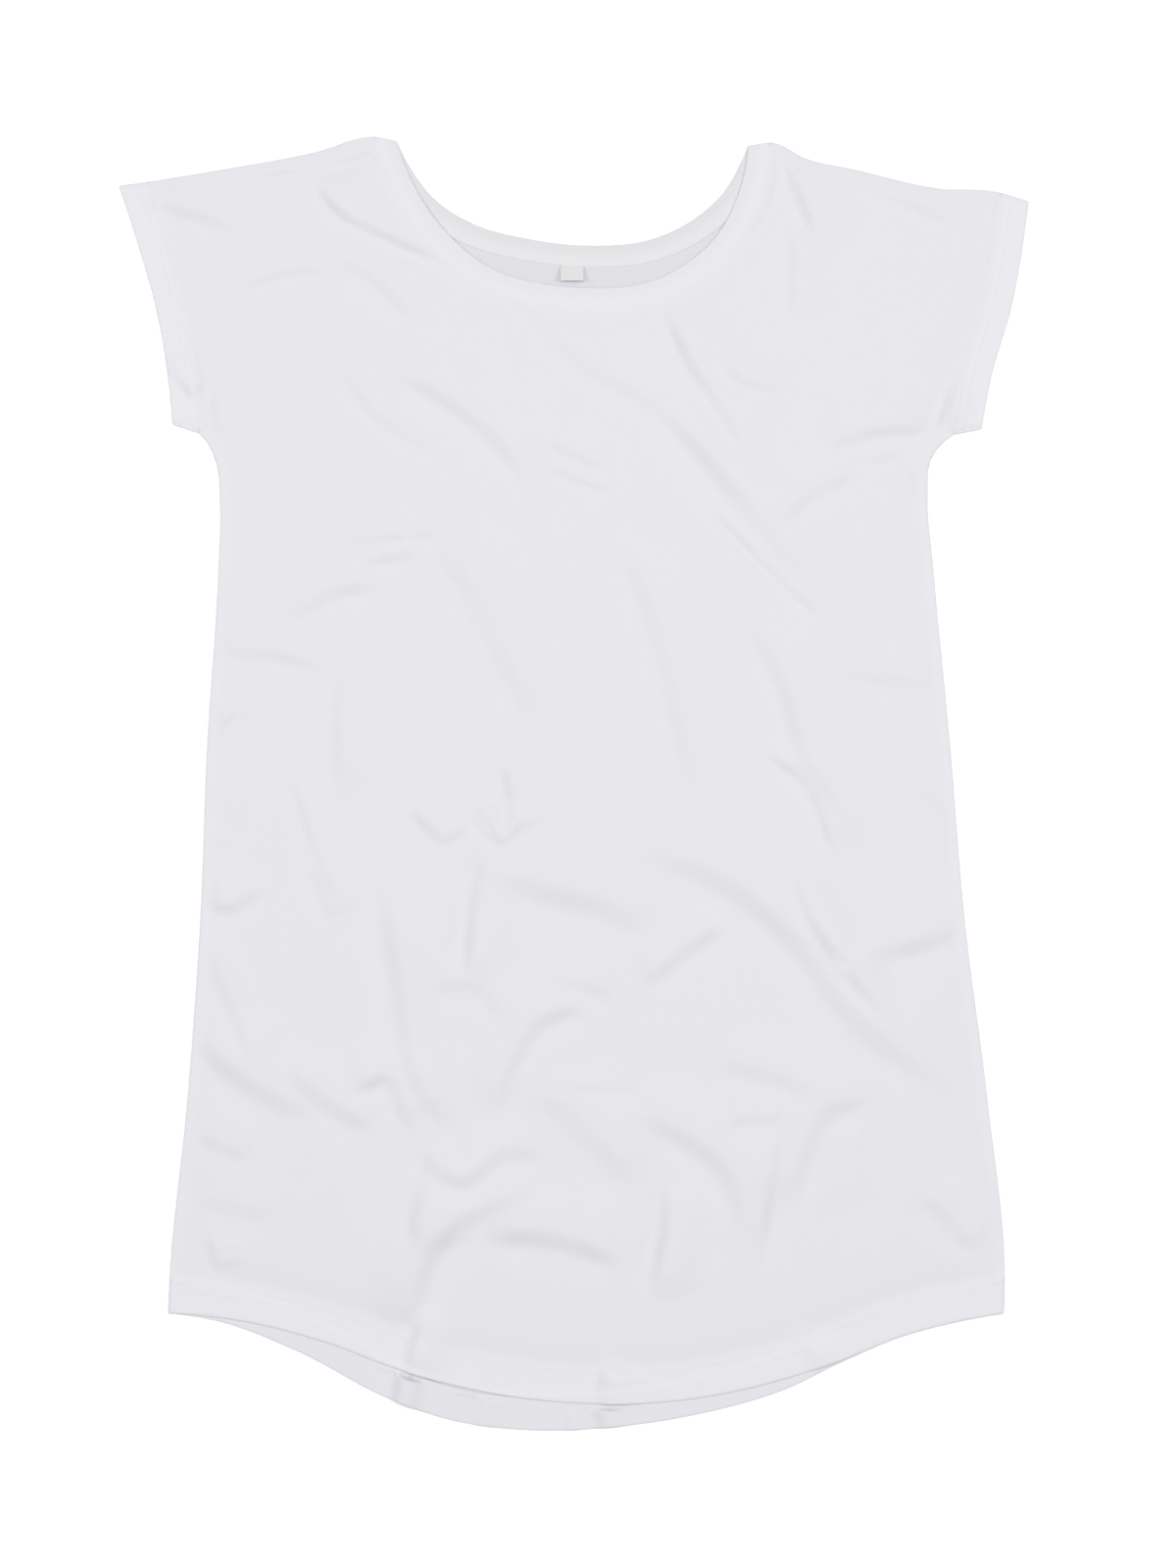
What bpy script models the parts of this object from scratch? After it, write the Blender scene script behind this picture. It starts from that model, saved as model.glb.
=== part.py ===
"""T-shirt dress in white jersey, laid flat with its front up.

Front and back panels with cap sleeves cut in one with them, turned hems and cuffs, a neck
band and a size label. The dress lies on the XY plane with its neck towards +Y; left and
right are as one looks down on it. All sizes in the tables are in millimetres.
"""

from typing import NamedTuple

import bmesh
import bpy
import numpy as np
from mathutils import Vector
from mathutils.geometry import delaunay_2d_cdt

MM = 0.001

# ---- Driving dimensions --------------------------------------------------------------------
WALL = 1.0                  # one layer of jersey
HEM_WALL = 2.0              # two layers, the cloth turned in on itself
GAP = 0.3                   # between pieces, at seams and between the panels
HEM_DEPTH = 23.0
CUFF_DEPTH = 20.0
NECK_BAND_DEPTH = 15.5
LOFT = 1.0                  # air that the front panel keeps under it away from its edges
LOFT_REACH = 45.0           # how far in from the edge the loft is full
CLIMB_REACH = 20.0          # how far the panel takes to climb to the double cloth of a band
EDGE_CALM = 14.0            # folds die out over this distance from the edge
FADE = 0.4                  # share of a fold's length over which each end dies out
END_SPREAD = 0.6            # a fold's width at its very ends, as a share of its full width
LABEL_WIDTH = 16.5
LABEL_X = -1.3              # the label's middle, a little left of the neck's
LABEL_LENGTH = 11.0
LABEL_LIFT = 2.2            # the label's free end stands up this much

# ---- How finely the cloth is divided -------------------------------------------------------
EDGE_STEP = 12.0
FOLD_STEP = 8.0
GRID_STEP = 30.0
BAND_STEP = 16.0
CLOSEST = 5.0               # no two points inside a piece are nearer than this
GRID_CLEAR = 0.6            # a grid point keeps this share of the grid's step from other points
CURVE_SAMPLES = 600         # fine samples of an edge or route before it is divided evenly
LABEL_DIVISIONS = 5         # points down each side of the label
SAME_POINT = 1e-5           # points nearer than this are one
SHARP_ANGLE = 40.0          # degrees past which an edge is shaded sharp

# ---- Heights of the layers above the surface that the dress lies on ------------------------
FRONT_REST = WALL + GAP + WALL              # outer face of the front where it lies on the back
BAND_REST = HEM_WALL + GAP + HEM_WALL       # outer face of a front band on a back band

# ---- The dress's edges, as smooth curves through these points ------------------------------
# Shoulders run from the neck out, cuffs and sides from the top down, neck and hem from left
# to right. The front and the back share their shoulders, cuffs and sides.
SHOULDER_LEFT = [(-126.5, 459.0), (-140.5, 462.0), (-184.5, 451.0), (-254.5, 438.0),
                 (-324.5, 427.0)]
SHOULDER_RIGHT = [(124.5, 455.5), (141.0, 458.0), (165.5, 446.5), (199.0, 439.0),
                  (262.0, 425.0), (300.5, 423.0), (324.5, 416.0)]
CUFF_LEFT = [(-324.5, 427.0), (-312.0, 389.0), (-298.5, 341.5), (-289.5, 291.0),
             (-286.5, 257.0)]
CUFF_RIGHT = [(324.5, 416.0), (321.0, 389.0), (312.5, 341.5), (298.0, 291.0), (291.0, 253.5)]
SIDE_LEFT = [(-286.5, 257.0), (-266.5, 250.0), (-256.0, 232.5), (-252.5, 203.0),
             (-253.5, 154.0), (-261.5, 28.0), (-266.5, -98.0), (-275.5, -224.0),
             (-288.5, -355.0), (-289.5, -378.0)]
SIDE_RIGHT = [(291.0, 253.5), (270.0, 249.0), (255.0, 232.5), (252.5, 206.0),
              (256.5, 154.0), (268.5, 28.0), (279.0, -98.0), (295.0, -224.0),
              (307.5, -355.0), (307.0, -378.0)]
FRONT_NECK = [(-126.5, 459.0), (-117.0, 433.5), (-95.0, 398.5), (-60.0, 369.0), (-2.0, 355.0),
              (60.5, 361.0), (102.0, 391.5), (120.0, 429.0), (124.5, 455.5)]
BACK_NECK = [(-126.5, 459.0), (-116.5, 439.5), (-99.0, 417.0), (-73.0, 400.5), (-31.0, 389.0),
             (10.0, 384.5), (55.5, 389.0), (81.5, 400.5), (107.5, 423.0), (120.0, 445.0),
             (124.5, 455.5)]
FRONT_HEM = [(-289.5, -378.0), (-237.0, -383.5), (-178.0, -398.5), (-124.0, -418.5),
             (-56.5, -435.5), (11.5, -442.5), (74.0, -440.5), (137.5, -428.5),
             (191.0, -411.5), (235.5, -394.0), (276.0, -383.5), (307.0, -378.0)]
BACK_HEM = [(-289.5, -378.0), (-254.5, -383.5), (-198.5, -404.5), (-128.5, -440.5),
            (-86.5, -454.5), (-28.5, -461.5), (39.5, -458.0), (95.5, -448.5),
            (151.5, -432.0), (191.0, -413.0), (235.5, -394.0), (276.0, -383.5),
            (307.0, -378.0)]


class Fold(NamedTuple):
    """One soft fold of the front panel, walked along its foot.

    Its crest is on the walker's left, half a flank from the route. From there the cloth
    falls over `flank` to the route's right, and over `back` on the left. Where `far` isn't
    0 it climbs again, over another flank, to a second crest on the right.
    """
    name: str
    crest: float
    back: float
    flank: float
    far: float
    route: list


FOLDS = [
    #    name              crest back flank far   route
    Fold("neck_left",       3.6, 42, 10, 0.0, [(-188, 436), (-165, 406), (-133, 390), (-86, 369)]),
    Fold("chest_left",      3.0, 48, 11, 0.0, [(-140, 297), (-91, 272), (-56, 244), (-30, 208)]),
    Fold("chest_long",      3.6, 42, 10, 1.2, [(60, 272), (119, 200), (147, 168), (184, 127)]),
    Fold("chest_right",     3.2, 40, 10, 0.0, [(62, 350), (82, 301), (110, 258), (127, 222)]),
    Fold("underarm_right",  3.0, 36, 10, 0.0, [(178, 236), (220, 251), (258, 250)]),
    Fold("middle",          2.6, 48, 10, 0.0, [(25, 185), (56, 115), (68, 70), (86, -22)]),
    Fold("left_middle",     2.6, 48, 10, 0.0, [(-107, 182), (-77, 140), (-49, 84), (-24, 38)]),
    Fold("left_bar",        2.4, 30, 10, 0.8, [(-206, 110), (-175, 134), (-132, 138)]),
    Fold("right_long",      3.0, 44, 10, 0.0, [(110, 132), (150, 66), (162, 24), (191, -21),
                                               (210, -68)]),
    Fold("left_long",       3.6, 42, 11, 0.0, [(-139, -62), (-126, -147), (-119, -196),
                                               (-80, -256)]),
    Fold("centre_drop",     2.6, 34, 10, 0.9, [(-62, -36), (-72, -91), (-77, -148)]),
    Fold("centre_bar",      4.2, 44, 15, 0.0, [(-66, -54), (-18, -80), (17, -88), (62, -114)]),
    Fold("sweep",           5.0, 50, 13, 0.0, [(16, -54), (87, -63), (150, -106), (206, -175),
                                               (288, -227)]),
    Fold("sweep_twin",      2.2, 26, 10, 0.0, [(153, -40), (168, -94), (192, -130),
                                               (230, -172)]),
    Fold("small_up",        2.8, 30, 11, 0.0, [(50, -148), (75, -124), (113, -100)]),
    Fold("hook",            3.6, 36, 12, 1.2, [(-51, -242), (-40, -196), (-25, -173),
                                               (16, -163)]),
    Fold("left_sweep",      4.0, 44, 12, 0.0, [(-278, -176), (-235, -214), (-178, -240)]),
    Fold("left_sweep_twin", 2.8, 34, 11, 0.0, [(-208, -198), (-175, -230), (-139, -248)]),
    Fold("wave",            3.8, 40, 12, 1.4, [(-110, -258), (-77, -283), (-53, -267),
                                               (-18, -268)]),
    Fold("bow",             4.8, 42, 13, 0.0, [(-109, -396), (-102, -340), (-77, -312),
                                               (-22, -292)]),
    Fold("brow",            4.4, 40, 13, 0.0, [(-70, -326), (-18, -326), (36, -346)]),
    Fold("lower_middle",    3.0, 36, 12, 0.0, [(-30, -218), (10, -253), (48, -294)]),
    Fold("lower_arc",       3.6, 40, 11, 0.0, [(28, -239), (73, -251), (103, -274),
                                               (119, -324)]),
    Fold("lower_drop",      3.0, 34, 11, 0.9, [(65, -280), (63, -326), (51, -369)]),
    Fold("lower_bar",       2.4, 34, 12, 0.0, [(98, -197), (140, -211), (180, -220)]),
    Fold("crook",           3.6, 34, 11, 1.4, [(156, -310), (168, -259), (184, -234),
                                               (218, -230)]),
    Fold("right_edge_bar",  3.2, 36, 11, 0.0, [(198, -125), (238, -118), (284, -100)]),
    Fold("corner_right",    2.6, 34, 10, 0.0, [(244, -289), (269, -315), (290, -337)]),
    Fold("shoulder_right",  3.2, 34, 10, 0.0, [(147, 453), (163, 413), (178, 374)]),
    Fold("shoulder_tip",    2.6, 22, 14, 0.0, [(184, 433), (224, 421), (282, 391)]),
    Fold("sleeve_left",     2.2, 22, 14, 0.0, [(-312, 412), (-277, 407), (-238, 393)]),
]


# ---- Curves and distances ------------------------------------------------------------------
def smooth_run(points, step):
    """Curve through the points, as a run of points about `step` apart.

    Between two points it is a Hermite cubic; the tangent at each is that of the parabola
    through it and its neighbours.
    """
    points = np.array(points, dtype=float)
    reach = np.concatenate([[0.0], np.cumsum(np.linalg.norm(np.diff(points, axis=0), axis=1))])
    tangent = np.gradient(points, reach, axis=0, edge_order=2)
    at = np.linspace(0.0, reach[-1], CURVE_SAMPLES)
    k = np.clip(np.searchsorted(reach, at, side="right") - 1, 0, len(reach) - 2)
    span = (reach[k + 1] - reach[k])[:, None]
    u = (at - reach[k])[:, None] / span
    fine = ((2 * u**3 - 3 * u**2 + 1) * points[k] + (u**3 - 2 * u**2 + u) * span * tangent[k]
            + (3 * u**2 - 2 * u**3) * points[k + 1] + (u**3 - u**2) * span * tangent[k + 1])
    done = np.concatenate([[0.0], np.cumsum(np.linalg.norm(np.diff(fine, axis=0), axis=1))])
    evenly = np.linspace(0.0, done[-1], max(2, round(done[-1] / step) + 1))
    return np.column_stack([np.interp(evenly, done, fine[:, 0]),
                            np.interp(evenly, done, fine[:, 1])])


def beside(points, run):
    """Each point's distance to a run, + on its left and - on its right, and where along the
    run its foot lies, from 0 to 1."""
    step = np.diff(run, axis=0)
    length = np.linalg.norm(step, axis=1)
    reach = np.concatenate([[0.0], np.cumsum(length)])
    away = points[:, None, :] - run[None, :-1, :]
    share = np.clip((away * step).sum(axis=2) / length**2, 0.0, 1.0)
    gap = np.linalg.norm(away - share[:, :, None] * step, axis=2)
    k = gap.argmin(axis=1)
    i = np.arange(len(points))
    turn = step[k, 0] * away[i, k, 1] - step[k, 1] * away[i, k, 0]
    along = (reach[k] + share[i, k] * length[k]) / reach[-1]
    return np.where(turn >= 0.0, 1.0, -1.0) * gap[i, k], along


def distance(points, run):
    return np.abs(beside(points, run)[0])


def smoothstep(value):
    value = np.clip(value, 0.0, 1.0)
    return value * value * (3.0 - 2.0 * value)


def left_of(run):
    """Unit vectors to the left of a run, at each of its points."""
    ahead = np.gradient(run, axis=0)
    ahead /= np.linalg.norm(ahead, axis=1)[:, None]
    return np.column_stack([-ahead[:, 1], ahead[:, 0]])


def inside(points, outline):
    """Which points a closed outline holds: a ray to +X crosses it an odd number of times."""
    x, y = points[:, 0, None], points[:, 1, None]
    x1, y1 = outline[:, 0], outline[:, 1]
    x2, y2 = np.roll(x1, -1), np.roll(y1, -1)
    rise = np.where(y2 == y1, 1.0, y2 - y1)
    crosses = ((y1 > y) != (y2 > y)) & (x < (x2 - x1) * (y - y1) / rise + x1)
    return crosses.sum(axis=1) % 2 == 1


# ---- A panel and its bands -----------------------------------------------------------------
def panel_edges(neck, hem):
    """A panel's eight edges in order, counter-clockwise from the right end of its neck."""
    return {
        "neck_band": smooth_run(neck[::-1], EDGE_STEP),
        "left_shoulder": smooth_run(SHOULDER_LEFT, EDGE_STEP),
        "left_cuff": smooth_run(CUFF_LEFT, EDGE_STEP),
        "left_side": smooth_run(SIDE_LEFT, EDGE_STEP),
        "hem": smooth_run(hem, EDGE_STEP),
        "right_side": smooth_run(SIDE_RIGHT[::-1], EDGE_STEP),
        "right_cuff": smooth_run(CUFF_RIGHT[::-1], EDGE_STEP),
        "right_shoulder": smooth_run(SHOULDER_RIGHT[::-1], EDGE_STEP),
    }


BAND_DEPTHS = {"neck_band": NECK_BAND_DEPTH, "left_cuff": CUFF_DEPTH, "hem": HEM_DEPTH,
               "right_cuff": CUFF_DEPTH}


def closed(runs):
    """One closed outline from runs that each start where the last one ended."""
    return np.concatenate([run[:-1] for run in runs])


def walk_in(run, edge, depth):
    """The first stretch of a run that starts on an edge, up to where it is `depth` away."""
    away = distance(run, edge)
    k = int(np.argmax(away >= depth))
    share = (depth - away[k - 1]) / (away[k] - away[k - 1])
    return np.vstack([run[:k], run[k - 1] + share * (run[k] - run[k - 1])])


def inset(edges, order, name, depth):
    """The line `depth` inside an edge, from the edge before it to the edge after it."""
    before = edges[order[order.index(name) - 1]]
    after = edges[order[(order.index(name) + 1) % len(order)]]
    start = walk_in(before[::-1], edges[name], depth)[-1]
    end = walk_in(after, edges[name], depth)[-1]
    line = edges[name] + depth * left_of(edges[name])
    clear = EDGE_STEP / 2
    held = inside(line, closed([edges[key] for key in order]))
    held &= (distance(line, before) > clear) & (distance(line, after) > clear)
    return np.vstack([start, line[held], end])


def band_outline(edges, name):
    """A band: the edge, a piece of the edge after it, the inset line back, and a piece of the
    edge before it."""
    order = list(edges)
    depth = BAND_DEPTHS[name]
    before = edges[order[order.index(name) - 1]]
    after = edges[order[(order.index(name) + 1) % len(order)]]
    return closed([edges[name], walk_in(after, edges[name], depth),
                   inset(edges, order, name, depth)[::-1],
                   walk_in(before[::-1], edges[name], depth)[::-1]])


def cloth_outline(edges):
    """The panel inside its four bands, a seam's gap away from each."""
    order = list(edges)
    runs = []
    for place, name in enumerate(order):
        if name in BAND_DEPTHS:
            runs.append(inset(edges, order, name, BAND_DEPTHS[name] + GAP))
            continue
        run = edges[name]
        before, after = order[place - 1], order[(place + 1) % len(order)]
        cut_start = walk_in(run, edges[before], BAND_DEPTHS[before] + GAP)
        cut_end = walk_in(run[::-1], edges[after], BAND_DEPTHS[after] + GAP)
        middle = run[len(cut_start):len(run) - len(cut_end)]
        runs.append(np.vstack([cut_start[-1], middle, cut_end[-1]]))
    return closed(runs)


# ---- How high the front panel lies ---------------------------------------------------------
def fold_stations(fold):
    """Across a fold, from its right to its left: distances from the route, and heights."""
    right = [(-fold.flank * 1.5 - fold.back, 0.0), (-fold.flank * 1.5, fold.far)]
    left = [(-fold.flank / 2, 0.0), (fold.flank / 2, fold.crest),
            (fold.flank / 2 + fold.back, 0.0)]
    return np.array(right + left if fold.far else left)


def fold_taper(along):
    """Share of its full height that a fold has at a place along it."""
    return smoothstep(np.minimum(along, 1.0 - along) / FADE)


def fold_spread(along):
    """Share of its full width that a fold has there, so that it is a spindle from above."""
    return END_SPREAD + (1.0 - END_SPREAD) * fold_taper(along)


def fold_height(points, fold):
    """Height that one fold adds, eased from station to station across it."""
    side, along = beside(points, smooth_run(fold.route, FOLD_STEP))
    side = side / fold_spread(along)
    at, height = fold_stations(fold).T
    k = np.clip(np.searchsorted(at, side, side="right") - 1, 0, len(at) - 2)
    ease = smoothstep((side - at[k]) / (at[k + 1] - at[k]))
    return fold_taper(along) * (height[k] + (height[k + 1] - height[k]) * ease)


def front_top(points, edges):
    """Height of the front's outer face: its rest, its loft, its climb to the bands, its folds."""
    from_edge = distance(points, closed_run(edges))
    climb = np.zeros(len(points))
    for name, depth in BAND_DEPTHS.items():
        from_band = distance(points, edges[name]) - depth
        climb = np.maximum(climb, smoothstep(1.0 - from_band / CLIMB_REACH))
    folds = sum(fold_height(points, fold) for fold in FOLDS)
    return (FRONT_REST + LOFT * smoothstep(from_edge / LOFT_REACH) * (1.0 - climb)
            + (BAND_REST - FRONT_REST) * climb + folds * smoothstep(from_edge / EDGE_CALM))


def closed_run(edges):
    """The whole outline of a panel, as a run that ends where it starts."""
    outline = closed(list(edges.values()))
    return np.vstack([outline, outline[:1]])


def below(points, edges, wall):
    """Height of the front's inner face: `wall` under the outer one, square to the cloth."""
    nudge = 0.5
    outer = front_top(points, edges)
    slope_x = (front_top(points + [nudge, 0.0], edges) - outer) / nudge
    slope_y = (front_top(points + [0.0, nudge], edges) - outer) / nudge
    return outer - wall * np.sqrt(1.0 + slope_x**2 + slope_y**2)


# ---- Where the cloth is divided ------------------------------------------------------------
def thinned(candidates, taken, closest):
    """The candidates, in order, that keep `closest` from each other and from `taken`."""
    kept = [tuple(point) for point in taken]
    for point in candidates:
        if np.min(np.hypot(*(np.array(kept) - point).T)) >= closest:
            kept.append(tuple(point))
    return np.array(kept)


def grid_points(outline, step):
    """Points in offset rows, `step` apart, over the outline's box."""
    low, high = outline.min(axis=0), outline.max(axis=0)
    row_step = step * np.sqrt(3.0) / 2
    rows = np.arange(low[1], high[1], row_step)
    columns = np.arange(low[0], high[0], step)
    x, y = np.meshgrid(columns, rows)
    x = x + step / 2 * (np.arange(len(rows)) % 2)[:, None]
    return np.column_stack([x.ravel(), y.ravel()])


def fold_points():
    """Points along each fold's route, at every station across it and half way down its back,
    the nearest lines first."""
    lines = []
    for fold in FOLDS:
        run = smooth_run(fold.route, FOLD_STEP)
        spread = fold_spread(np.linspace(0.0, 1.0, len(run)))[:, None]
        for at in [*fold_stations(fold)[:, 0], (fold.flank + fold.back) / 2]:
            lines.append((abs(at), run + at * spread * left_of(run)))
    return np.concatenate([line for _, line in sorted(lines, key=lambda pair: pair[0])])


def inner_points(outline, wanted, grid_step):
    """Points to divide a piece of cloth by: the wanted ones first, then an even grid."""
    candidates = wanted[inside(wanted, outline)]
    candidates = candidates[distance(candidates, np.vstack([outline, outline[:1]])) > CLOSEST]
    kept = thinned(candidates, outline, CLOSEST)
    grid = grid_points(outline, grid_step)
    grid = grid[inside(grid, outline)]
    return thinned(grid, kept, grid_step * GRID_CLEAR)[len(outline):]


# ---- Solids --------------------------------------------------------------------------------
def fabric(name, colour, roughness):
    material = bpy.data.materials.new(name)
    material.use_nodes = True
    shader = material.node_tree.nodes["Principled BSDF"]
    shader.inputs["Base Color"].default_value = (*colour, 1.0)
    shader.inputs["Roughness"].default_value = roughness
    shader.inputs["Metallic"].default_value = 0.0
    return material


def cloth_solid(name, outline, inner, top, under, material, parent):
    """A wall of cloth: its outer face triangulated inside the outline, and extruded down.

    `top` and `under` give the height of the outer and of the inner face at an array of points.
    """
    flat = np.vstack([outline, inner]) if len(inner) else outline
    ring = [(k, (k + 1) % len(outline)) for k in range(len(outline))]
    spots, _, faces, _, _, _ = delaunay_2d_cdt([Vector(p) for p in flat], ring, [], 1,
                                                 SAME_POINT)
    spots = np.array([tuple(spot) for spot in spots])
    heights, depths = top(spots), under(spots)
    mesh = bmesh.new()
    number = mesh.verts.layers.int.new("number")
    upper = [mesh.verts.new((x * MM, y * MM, z * MM)) for (x, y), z in zip(spots, heights)]
    for k, vert in enumerate(upper):
        vert[number] = k
    for face in faces:
        mesh.faces.new([upper[k] for k in face])
    extruded = bmesh.ops.extrude_face_region(mesh, geom=mesh.faces[:])["geom"]
    for vert in [part for part in extruded if isinstance(part, bmesh.types.BMVert)]:
        vert.co.z = depths[vert[number]] * MM
    mesh.verts.layers.int.remove(number)
    bmesh.ops.recalc_face_normals(mesh, faces=mesh.faces[:])
    data = bpy.data.meshes.new(name)
    mesh.to_mesh(data)
    mesh.free()
    data.materials.append(material)
    data.shade_smooth()
    data.set_sharp_from_angle(angle=np.radians(SHARP_ANGLE))
    piece = bpy.data.objects.new(name, data)
    piece.parent = parent
    bpy.context.scene.collection.objects.link(piece)
    return piece


# ---- The back, flat on the surface ---------------------------------------------------------
def level(height):
    return lambda points: np.full(len(points), height)


def lay_back(jersey, double_jersey, parent):
    edges = panel_edges(BACK_NECK, BACK_HEM)
    none = np.empty((0, 2))
    cloth_solid("back_panel", cloth_outline(edges), none, level(WALL), level(0.0), jersey, parent)
    for name in BAND_DEPTHS:
        cloth_solid("back_" + name, band_outline(edges, name), none, level(HEM_WALL),
                    level(0.0), double_jersey, parent)


# ---- The front, on the back ----------------------------------------------------------------
def lay_front(jersey, double_jersey, parent):
    edges = panel_edges(FRONT_NECK, FRONT_HEM)

    def top(points):
        return front_top(points, edges)

    outline = cloth_outline(edges)
    order = list(edges)
    ramps = [inset(edges, order, name, depth + CLIMB_REACH) for name, depth in BAND_DEPTHS.items()]
    inner = inner_points(outline, np.concatenate([fold_points()] + ramps), GRID_STEP)
    cloth_solid("front_panel", outline, inner, top, lambda points: below(points, edges, WALL),
                jersey, parent)
    for name, depth in BAND_DEPTHS.items():
        outline = band_outline(edges, name)
        middle = edges[name] + depth / 2 * left_of(edges[name])
        inner = inner_points(outline, middle, BAND_STEP)
        cloth_solid("front_" + name, outline, inner, top,
                    lambda points: below(points, edges, HEM_WALL), double_jersey, parent)


# ---- The size label, sewn under the back neck band -----------------------------------------
def lay_label(satin, parent):
    edges = panel_edges(BACK_NECK, BACK_HEM)
    seam = inset(edges, list(edges), "neck_band", NECK_BAND_DEPTH + GAP)
    seam_y = np.interp(LABEL_X, seam[::-1, 0], seam[::-1, 1]) - GAP
    down = np.linspace(seam_y, seam_y - LABEL_LENGTH, LABEL_DIVISIONS)
    left = np.column_stack([np.full(LABEL_DIVISIONS, LABEL_X - LABEL_WIDTH / 2), down])
    right = np.column_stack([np.full(LABEL_DIVISIONS, LABEL_X + LABEL_WIDTH / 2), down[::-1]])

    def under(points):
        """It lies on the back panel at its seam and curls up to its free end."""
        share = (seam_y - points[:, 1]) / LABEL_LENGTH
        return WALL + GAP + LABEL_LIFT * share**2

    cloth_solid("size_label", np.vstack([left, right]), np.empty((0, 2)),
                lambda points: under(points) + WALL, under, satin, parent)


for leftover in list(bpy.data.objects):
    bpy.data.objects.remove(leftover)

dress = bpy.data.objects.new("dress", None)
bpy.context.scene.collection.objects.link(dress)

white_jersey = fabric("white combed-cotton jersey", (0.80, 0.79, 0.83), 0.85)
turned_jersey = fabric("white jersey, turned and stitched", (0.81, 0.82, 0.86), 0.85)
label_satin = fabric("white label satin", (0.84, 0.84, 0.83), 0.5)

lay_back(white_jersey, turned_jersey, dress)
lay_front(white_jersey, turned_jersey, dress)
lay_label(label_satin, dress)
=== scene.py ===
"""T-shirt dress in white jersey, laid flat with its front up: its looks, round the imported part.

Lengths in the sections are in millimetres, with +Y towards the neck and +Z out of the front.
"""

import bpy
import numpy as np
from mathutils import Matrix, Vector
from mathutils.geometry import delaunay_2d_cdt


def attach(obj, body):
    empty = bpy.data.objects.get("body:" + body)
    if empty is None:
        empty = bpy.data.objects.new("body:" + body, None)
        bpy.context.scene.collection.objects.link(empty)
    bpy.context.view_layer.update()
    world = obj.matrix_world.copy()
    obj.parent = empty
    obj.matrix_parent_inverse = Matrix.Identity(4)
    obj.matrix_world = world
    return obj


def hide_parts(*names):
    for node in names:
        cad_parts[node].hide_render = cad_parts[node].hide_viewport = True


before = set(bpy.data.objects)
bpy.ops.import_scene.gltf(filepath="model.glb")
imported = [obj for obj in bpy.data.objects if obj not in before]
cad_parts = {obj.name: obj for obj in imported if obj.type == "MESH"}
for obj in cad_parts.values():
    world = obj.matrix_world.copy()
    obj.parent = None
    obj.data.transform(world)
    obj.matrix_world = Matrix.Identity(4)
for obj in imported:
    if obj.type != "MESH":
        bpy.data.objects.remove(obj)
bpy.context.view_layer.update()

MM = 0.001


# ==== Back ==================================================================================
# The back and its cap sleeves are one piece of fine single jersey, cut to smooth curves. It
# lies face down on the surface, so its inside shows in the neck. Where it has crept on the
# surface it has a few shallow dents underneath.

# ---- its cut: shoulders run from the neck out, cuffs and sides from the top down, neck and
# hem from left to right. The front has the same shoulders, cuffs and sides.
SHOULDER_LEFT = [(-126.5, 459.0), (-140.5, 462.0), (-184.5, 451.0), (-254.5, 438.0),
                 (-324.5, 427.0)]
SHOULDER_RIGHT = [(124.5, 455.5), (141.0, 458.0), (165.5, 446.5), (199.0, 439.0),
                  (262.0, 425.0), (300.5, 423.0), (324.5, 416.0)]
CUFF_LEFT = [(-324.5, 427.0), (-312.0, 389.0), (-298.5, 341.5), (-289.5, 291.0),
             (-286.5, 257.0)]
CUFF_RIGHT = [(324.5, 416.0), (321.0, 389.0), (312.5, 341.5), (298.0, 291.0), (291.0, 253.5)]
SIDE_LEFT = [(-286.5, 257.0), (-266.5, 250.0), (-256.0, 232.5), (-252.5, 203.0),
             (-253.5, 154.0), (-261.5, 28.0), (-266.5, -98.0), (-275.5, -224.0),
             (-288.5, -355.0), (-289.5, -378.0)]
SIDE_RIGHT = [(291.0, 253.5), (270.0, 249.0), (255.0, 232.5), (252.5, 206.0),
              (256.5, 154.0), (268.5, 28.0), (279.0, -98.0), (295.0, -224.0),
              (307.5, -355.0), (307.0, -378.0)]
BACK_NECK = [(-126.5, 459.0), (-116.5, 439.5), (-99.0, 417.0), (-73.0, 400.5), (-31.0, 389.0),
             (10.0, 384.5), (55.5, 389.0), (81.5, 400.5), (107.5, 423.0), (120.0, 445.0),
             (124.5, 455.5)]
BACK_HEM = [(-289.5, -378.0), (-254.5, -383.5), (-198.5, -404.5), (-128.5, -440.5),
            (-86.5, -454.5), (-28.5, -461.5), (39.5, -458.0), (95.5, -448.5),
            (151.5, -432.0), (191.0, -413.0), (235.5, -394.0), (276.0, -383.5),
            (307.0, -378.0)]
BAND_DEPTHS = {"neck_band": 15.5, "left_cuff": 20.0, "hem": 23.0, "right_cuff": 20.0}
EDGE_STEP = 4.0                     # between points along an edge
CURVE_POINTS = 900                  # of a curve, before they are spaced evenly


def run_length(run):
    """Sum of the lengths of a run's steps."""
    return np.linalg.norm(np.diff(run, axis=0), axis=1).sum()


def at_lengths(run, lengths):
    """Points of a run at the given distances along it."""
    done = np.concatenate([[0.0], np.cumsum(np.linalg.norm(np.diff(run, axis=0), axis=1))])
    return np.column_stack([np.interp(lengths, done, run[:, k]) for k in range(2)])


def evenly(run, count):
    """Points at even distances along a run, with both of its ends."""
    return at_lengths(run, np.linspace(0.0, run_length(run), count))


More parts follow.
